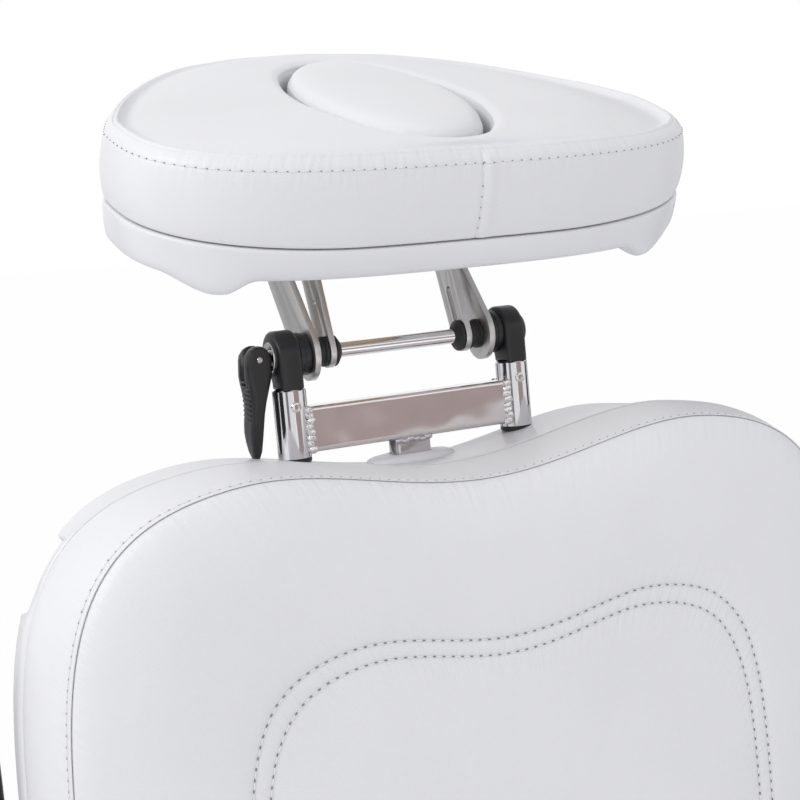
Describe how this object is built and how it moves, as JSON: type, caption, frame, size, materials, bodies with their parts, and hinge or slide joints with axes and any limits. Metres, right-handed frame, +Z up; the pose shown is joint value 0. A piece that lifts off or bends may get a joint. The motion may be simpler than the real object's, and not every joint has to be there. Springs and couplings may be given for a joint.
{
  "type": "beauty treatment chair",
  "caption": "Electric beauty treatment chair: padded back, seat and leg rest on a telescopic column, a height and tilt adjustable face-hole headrest, and swing-up armrests.",
  "frame": {"origin": "middle of the chair's bounding box, on the floor under the levelling feet", "axes": "+Z up, the sitter faces -Y, +X to the sitter's left as they face -Y"},
  "size_m": [0.6962, 1.2268, 1.4721],
  "materials": {
    "white_leather": "fine grained, satin",
    "black_leather": "fine grained, satin",
    "white_plastic": "smooth, semi-gloss",
    "black_plastic": "satin moulded",
    "black_rubber": "matt",
    "chrome_steel": "mirror",
    "bright_steel": "ground and polished",
    "plywood": "raw",
    "white_steel": "powder coated",
    "column_alu": "satin anodised",
    "black_steel": "powder coated",
    "grey_steel": "powder coated"
  },
  "bodies": {
    "base": {"base_plate": "grey_steel", "base_cover": "white_plastic", "levelling_feet": "black_rubber", "column_outer_tube": "white_steel", "lift_actuator": "black_steel", "mains_inlet": "black_plastic", "handset_socket": "black_plastic"},
    "column_middle": {"column_middle_tube": "column_alu"},
    "seat_frame": {"column_top_tube": "column_alu", "column_head_plate": "white_steel", "lift_rod": "bright_steel", "seat_rails": "white_steel", "seat_crossbars": "white_steel", "seat_shell": "white_plastic", "seat_cushion": "white_leather", "back_actuator": "black_steel", "leg_actuator": "black_steel"},
    "backrest": {"back_cushion": "white_leather", "back_shell": "white_plastic", "mast_grommet": "white_plastic", "mast_receiver": "bright_steel", "back_rails": "white_steel", "back_crossbars": "white_steel", "back_crank": "white_steel", "arm_brackets": "white_steel", "back_hinge_pins": "bright_steel"},
    "leg_rest": {"leg_cushion": "white_leather", "leg_shell": "white_plastic", "leg_rails": "white_steel", "leg_crank": "white_steel", "leg_hinge_pins": "bright_steel"},
    "back_push_rod": {"back_actuator_rod": "bright_steel"},
    "leg_push_rod": {"leg_actuator_rod": "bright_steel"},
    "armrest_left": {"armrest_bar_left": "black_steel", "armrest_pad_left": "black_leather"},
    "armrest_right": {"armrest_bar_right": "black_steel", "armrest_pad_right": "black_leather"},
    "head_mast": {"mast": "chrome_steel", "cross_tube": "chrome_steel", "weld_beads": "chrome_steel", "socket_tubes": "chrome_steel", "socket_end_caps": "black_plastic", "socket_set_screws": "bright_steel", "elbow_joints": "black_plastic", "tilt_rod": "bright_steel", "rod_end_nut": "black_plastic", "cam_washer": "bright_steel", "clamp_collars": "black_plastic", "rod_bumpers": "black_rubber"},
    "headrest": {"headrest_cushion": "white_leather", "headrest_tray": "white_plastic", "arm_mount_strips": "bright_steel", "inner_arms": "bright_steel", "outer_arms": "bright_steel", "arm_spacers": "black_plastic"},
    "breath_plug": {"plug_cushion": "white_leather", "plug_board": "plywood"},
    "clamp_lever": {"cam_lever": "black_plastic", "cam_lever_pin": "bright_steel"}
  },
  "joints": [
    {"name": "lift_lower_stage", "type": "slide", "parent": "base", "child": "column_middle", "axis": [0, 0, 1], "range_m": [0, 0.15]},
    {"name": "lift_upper_stage", "type": "slide", "parent": "column_middle", "child": "seat_frame", "axis": [0, 0, 1], "range_m": [0, 0.15]},
    {"name": "back_recline", "type": "hinge", "parent": "seat_frame", "child": "backrest", "pos_m": [0, 0.1904, 0.568], "axis": [-1, 0, 0], "range_deg": [-3, 78]},
    {"name": "leg_raise", "type": "hinge", "parent": "seat_frame", "child": "leg_rest", "pos_m": [0, -0.3496, 0.493], "axis": [-1, 0, 0], "range_deg": [0, 70]},
    {"name": "back_drive", "type": "slide", "parent": "seat_frame", "child": "back_push_rod", "axis": [0, -1, 0], "range_m": [-0.0076, 0.1852]},
    {"name": "leg_drive", "type": "slide", "parent": "seat_frame", "child": "leg_push_rod", "axis": [0, -1, 0], "range_m": [0, 0.0588]},
    {"name": "armrest_left_swing", "type": "hinge", "parent": "backrest", "child": "armrest_left", "pos_m": [-0.292, 0.30877, 0.7882], "axis": [1, 0, 0], "range_deg": [0, 92]},
    {"name": "armrest_right_swing", "type": "hinge", "parent": "backrest", "child": "armrest_right", "pos_m": [0.292, 0.30877, 0.7882], "axis": [1, 0, 0], "range_deg": [0, 92]},
    {"name": "mast_height", "type": "slide", "parent": "backrest", "child": "head_mast", "axis": [0, 0.2079, 0.9781], "range_m": [0, 0.1]},
    {"name": "head_tilt", "type": "hinge", "parent": "head_mast", "child": "headrest", "pos_m": [0, 0.43619, 1.29294], "axis": [1, 0, 0], "range_deg": [-45, 48]},
    {"name": "plug_lift", "type": "slide", "parent": "headrest", "child": "breath_plug", "axis": [0, -0.1392, 0.9903], "range_m": [0, 0.12]},
    {"name": "clamp_lever_flip", "type": "hinge", "parent": "head_mast", "child": "clamp_lever", "pos_m": [-0.10105, 0.43619, 1.29294], "axis": [0, 0.9781, -0.2079], "range_deg": [0, 95]}
  ],
  "couplings": [
    {"joint": "lift_lower_stage", "follows": "lift_upper_stage", "ratio": 1},
    {"joint": "back_drive", "follows": "back_recline", "m_per_rad": 0.1357},
    {"joint": "leg_drive", "follows": "leg_raise", "m_per_rad": 0.04773}
  ]
}
